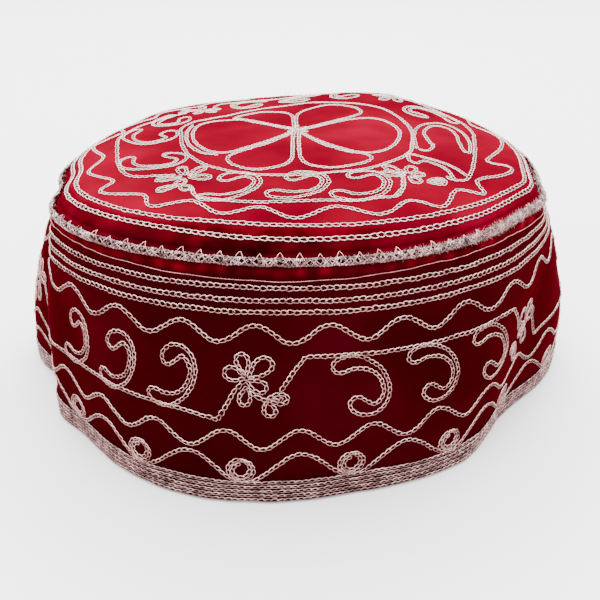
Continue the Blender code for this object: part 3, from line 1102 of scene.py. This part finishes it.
def braid_fuzz():
    """Short loose fibres that stand out of the braid, thicker on the right of the front."""
    azimuth, middle, ahead, out, up = braid_line(FUZZ_STEPS)
    dense = 0.04 + bell(wrapped(azimuth - 50), 22) + 0.25 * bell(wrapped(azimuth + 75), 18)
    chosen = rng.choice(FUZZ_STEPS, FUZZ_FIBRES, p=dense / dense.sum())
    angle = np.radians(rng.uniform(-60, 140, FUZZ_FIBRES))[:, None]
    root = out[chosen] * np.cos(angle) + up[chosen] * np.sin(angle)
    sideways = ahead[chosen] * rng.normal(0, 0.7, (FUZZ_FIBRES, 1))
    way = unit(root + (sideways + 0.35 * rng.standard_normal((FUZZ_FIBRES, 3))))
    longer = 0.42 + 0.48 * bell(wrapped(azimuth[chosen, None] - 50), 22)
    long = rng.uniform(0.5, 1.4, (FUZZ_FIBRES, 1)) * longer * MM
    start = middle[chosen] + root * 0.88 * MM
    bend = 0.25 * rng.standard_normal((FUZZ_FIBRES, 3)) * long
    line = np.stack([start, start + way * long * 0.55, start + way * long + bend], 1)
    first = unit(np.cross(way, np.array([0.3, 0.2, 1.0])))
    second = np.cross(way, first)
    thick = np.array([0.050, 0.040, 0.012]) * MM
    points = section(line, first[:, None], second[:, None], thick, 3)
    quads, rows, columns = grid_quads(3, 3, False)
    quads = quads[None] + 9 * np.arange(FUZZ_FIBRES)[:, None, None]
    corners = np.stack([rows / 2.0, columns / 3.0], -1)
    corners = np.broadcast_to(corners, (FUZZ_FIBRES, *corners.shape))
    batch = Batch(points.reshape(-1, 3), quads.reshape(-1, 4), corners.reshape(-1, 2))
    return joined("braid_fuzz", [batch])


def seam_thread():
    """Single thread laid round the top of the wall, under the braid."""
    azimuth = np.arange(1200) * 0.3
    turn = np.radians(azimuth)
    height = 0.0664 + 0.00075 * np.sin(4 * turn - 1.08) + 0.00010 * np.sin(31 * turn)
    line = wall_at(azimuth, height) + outwards(WALL, azimuth, height) * 0.00015
    return joined("seam_thread", [tube(line, 0.00011, 4, 0.0009)])


dressed(crown_cloth(), crown_satin, "crown_satin", "crown_panel")
dressed(wall_cloth(), wall_satin, "wall_satin", "side_wall")
dressed(hem_cloth(), hem_satin, "edge_stitching", "hem_band")
dressed(braid_core(), wall_satin, "silver_braid")
dressed(braid_cord(), braid_thread, "silver_braid", "seam_braid")
dressed(braid_zigzag(), zigzag_thread, "silver_braid")
dressed(braid_fuzz(), fuzz_thread, "silver_braid")
dressed(seam_thread(), single_thread, "edge_stitching")
for name, batches, material in (
    ("crown_rows", [*crown_rows(), *crown_wave()], crown_thread),
    ("crown_medallion", list(crown_medallion()), crown_thread),
    ("crown_motifs", list(crown_motifs()), crown_thread),
    ("wall_rows", list(wall_rows()), wall_thread),
    ("wall_waves", [*wall_waves(), *rosettes()], wall_thread),
    ("wall_motifs", list(wall_motifs()), wall_thread),
    ("hem_rows", list(hem_rows()), hem_thread),
):
    dressed(joined(name, batches), material, "edge_stitching")


# Floor, lights and camera
FLOOR_SIDE = 6.0  # half its width
LENS = 41.5  # for a sensor of 36 mm
CAMERA_DISTANCE = 0.2248  # from the axis of the folds
CAMERA_HEIGHT = 0.1463
CAMERA_TILT = 60.15  # degrees from straight down


def floor():
    nodes = Nodes("pale_floor")
    cloud = nodes.noise(nodes.add("ShaderNodeTexCoord").outputs["Object"], 3.0, 3)
    pale = nodes.ramp(cloud, ((0.3, (0.95, 0.95, 0.95)), (0.7, (0.97, 0.97, 0.97))))
    nodes.set(Base_Color=pale, Roughness=0.9, Specular_IOR_Level=0.2)
    points = np.array([(-1, -1, 0), (1, -1, 0), (1, 1, 0), (-1, 1, 0)]) * FLOOR_SIDE
    plane = quad_mesh("floor", points, np.array([[0, 1, 2, 3]]))
    plane.location.z = -0.00002
    plane.data.materials.append(nodes.material)
    plane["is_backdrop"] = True


def soft_light(name, place, target_height, size, power):
    """Rectangular light that faces the axis of the cap at a height."""
    light = bpy.data.lights.new(name, "AREA")
    light.shape = "RECTANGLE"
    light.size, light.size_y = size
    light.energy = power
    lamp = bpy.data.objects.new(name, light)
    lamp.location = place
    x, y, z = place
    lamp.rotation_euler = (math.atan2(math.hypot(x, y), z - target_height), 0, math.atan2(x, -y))
    bpy.context.scene.collection.objects.link(lamp)


def studio():
    world = bpy.data.worlds.new("studio")
    bpy.context.scene.world = world
    world.use_nodes = True
    background = world.node_tree.nodes["Background"]
    background.inputs["Color"].default_value = (1.0, 0.985, 0.98, 1)
    background.inputs["Strength"].default_value = 0.95
    soft_light("overhead", (0.0, 0.55, 1.5), 0.05, size=(2.6, 2.2), power=190)
    soft_light("front_left", (-0.9, -1.1, 0.9), 0.04, size=(0.7, 0.7), power=14)
    soft_light("front_right", (1.0, -0.9, 0.8), 0.04, size=(0.6, 0.6), power=10)


def camera():
    data = bpy.data.cameras.new("camera")
    data.sensor_width = 36
    data.lens = LENS
    data.clip_start = 0.01
    data.clip_end = 50
    view = bpy.data.objects.new("camera", data)
    view.location = (-MIDDLE[0], -CAMERA_DISTANCE - MIDDLE[1], CAMERA_HEIGHT)
    view.rotation_euler = (math.radians(CAMERA_TILT), 0, 0)
    bpy.context.scene.collection.objects.link(view)
    bpy.context.scene.camera = view


floor()
studio()
camera()

boxes = {"cad": cad_box, "visual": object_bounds()}
{name: [list(corner) for corner in box] for name, box in boxes.items()}
